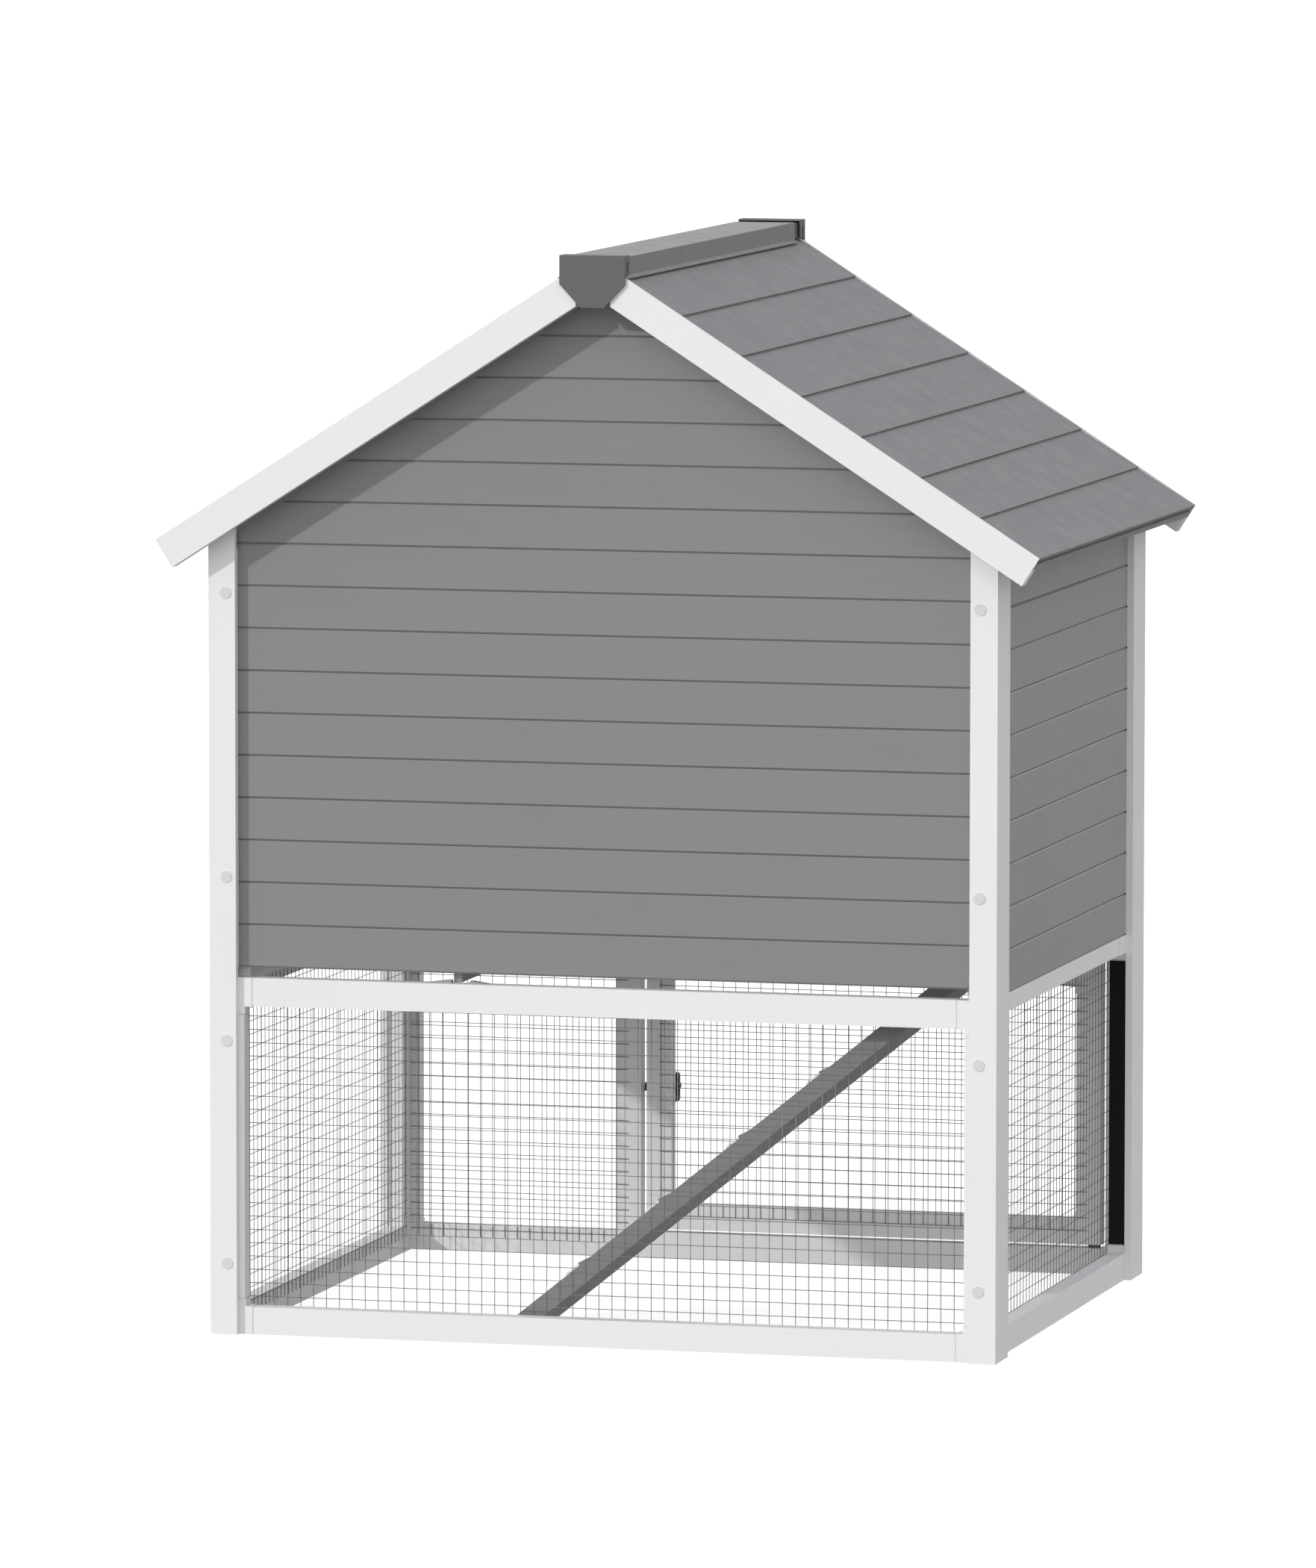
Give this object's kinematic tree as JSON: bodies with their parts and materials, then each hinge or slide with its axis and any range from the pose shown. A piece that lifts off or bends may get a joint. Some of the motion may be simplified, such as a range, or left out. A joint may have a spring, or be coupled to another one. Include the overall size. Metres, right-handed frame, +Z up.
{
  "type": "rabbit hutch",
  "caption": "Two-storey rabbit hutch: wire mesh run with a hinged door below, boarded cabin with doors, tray and gable roof above, joined by a cleated ramp.",
  "frame": {"origin": "on the ground under the centre of the roof's footprint", "axes": "+Z up, doors face -Y, ridge runs along Y, the ramp climbs towards -X"},
  "size_m": [0.851, 0.6822, 1.027],
  "materials": {
    "white_frame": "white painted wood, satin",
    "white_moulding": "white moulded plastic, satin",
    "grey_board": "grey painted tongue-and-groove board",
    "white_rafter": "grey painted batten",
    "roof_board": "grey painted roof board",
    "roof_panel": "painted plywood panel",
    "ridge_metal": "grey folded ridge cap",
    "ridge_plastic": "grey moulded end cap",
    "mesh_wire": "galvanised welded wire",
    "black_plastic": "black moulded plastic",
    "black_seal": "glossy black strip",
    "screw_steel": "zinc plated",
    "screw_cap": "light grey plastic",
    "grey_plastic": "grey moulded plastic",
    "floor_ply": "light plywood",
    "ramp_wood": "grey painted wood",
    "cleat_wood": "grey painted wood",
    "tread_strip": "white painted tread strip",
    "joist_wood": "grey painted wood",
    "tray_plastic": "dark grey moulded plastic"
  },
  "bodies": {
    "hutch": {"cabin_front_rails": "white_frame", "floor_joist": "joist_wood", "floor_ledgers": "white_frame", "floor_panel": "floor_ply", "front_gable_boards": "grey_board", "gable_rafters": "white_rafter", "joist_clips": "grey_plastic", "left_edge_seal": "black_seal", "left_wall_boards": "grey_board", "post_front_left": "white_frame", "post_front_right": "white_frame", "post_rear_left": "white_frame", "post_rear_right": "white_frame", "post_screw_caps": "screw_cap", "post_screws": "screw_steel", "rake_board_front_left": "white_frame", "rake_board_front_right": "white_frame", "rake_board_rear_left": "white_frame", "rake_board_rear_right": "white_frame", "ramp_hinge_fixed_leaf": "screw_steel", "rear_wall_battens": "white_frame", "rear_wall_boards": "grey_board", "ridge_cap": "ridge_metal", "ridge_end_cap_front": "ridge_plastic", "ridge_end_cap_rear": "ridge_plastic", "right_wall_boards": "grey_board", "roof_panel_left": "roof_panel", "roof_panel_right": "roof_panel", "roof_shingles_left": "roof_board", "roof_shingles_right": "roof_board", "run_frame_corners": "white_moulding", "run_front_mesh": "mesh_wire", "run_front_rails": "white_frame", "run_left_mesh": "mesh_wire", "run_left_rails": "white_frame", "run_rear_mesh": "mesh_wire", "run_rear_rails": "white_frame", "run_right_mesh": "mesh_wire", "run_right_rails": "white_frame"},
    "run_door": {"run_door_rails": "white_frame", "run_door_corners": "white_moulding", "run_door_mesh": "mesh_wire", "run_door_pivots": "black_plastic"},
    "run_latch": {"run_door_latch": "black_plastic"},
    "cabin_door_left": {"cabin_door_left_frame": "white_frame", "cabin_door_left_boards": "grey_board", "cabin_door_left_pivots": "black_plastic"},
    "cabin_latch_left": {"cabin_door_left_latch": "black_plastic"},
    "cabin_door_right": {"cabin_door_right_frame": "white_frame", "cabin_door_right_mesh": "mesh_wire", "cabin_door_right_pivots": "black_plastic"},
    "cabin_latch_right": {"cabin_door_right_latch": "black_plastic"},
    "tray": {"tray": "tray_plastic", "tray_front": "white_frame", "tray_knob": "black_plastic"},
    "ramp": {"ramp_board": "ramp_wood", "ramp_cleats": "cleat_wood", "ramp_treads": "tread_strip", "ramp_hinge_moving_leaf": "screw_steel", "ramp_hinge_pin": "screw_steel"}
  },
  "joints": [
    {"name": "run_door_hinge", "type": "hinge", "parent": "hutch", "child": "run_door", "pos_m": [-0.3361, -0.29875, 0.17], "axis": [0, 0, -1], "range_deg": [0, 110]},
    {"name": "run_latch_turn", "type": "hinge", "parent": "run_door", "child": "run_latch", "pos_m": [0.0945, -0.3136, 0.1684], "axis": [0, 1, 0], "range_deg": [0, 90]},
    {"name": "cabin_door_left_hinge", "type": "hinge", "parent": "hutch", "child": "cabin_door_left", "pos_m": [-0.3361, -0.29875, 0.567], "axis": [0, 0, -1], "range_deg": [0, 110]},
    {"name": "cabin_latch_left_turn", "type": "hinge", "parent": "cabin_door_left", "child": "cabin_latch_left", "pos_m": [-0.0389, -0.3136, 0.567], "axis": [0, 1, 0], "range_deg": [0, 90]},
    {"name": "cabin_door_right_hinge", "type": "hinge", "parent": "hutch", "child": "cabin_door_right", "pos_m": [0.3361, -0.29875, 0.567], "axis": [0, 0, 1], "range_deg": [0, 110]},
    {"name": "cabin_latch_right_turn", "type": "hinge", "parent": "cabin_door_right", "child": "cabin_latch_right", "pos_m": [0.0389, -0.3136, 0.567], "axis": [0, -1, 0], "range_deg": [0, 90]},
    {"name": "tray_slide", "type": "slide", "parent": "hutch", "child": "tray", "axis": [0, -1, 0], "range_m": [0, 0.3]},
    {"name": "ramp_hinge", "type": "hinge", "parent": "hutch", "child": "ramp", "pos_m": [-0.331, 0.1976, 0.364], "axis": [0, -1, 0], "range_deg": [0, 34]}
  ]
}
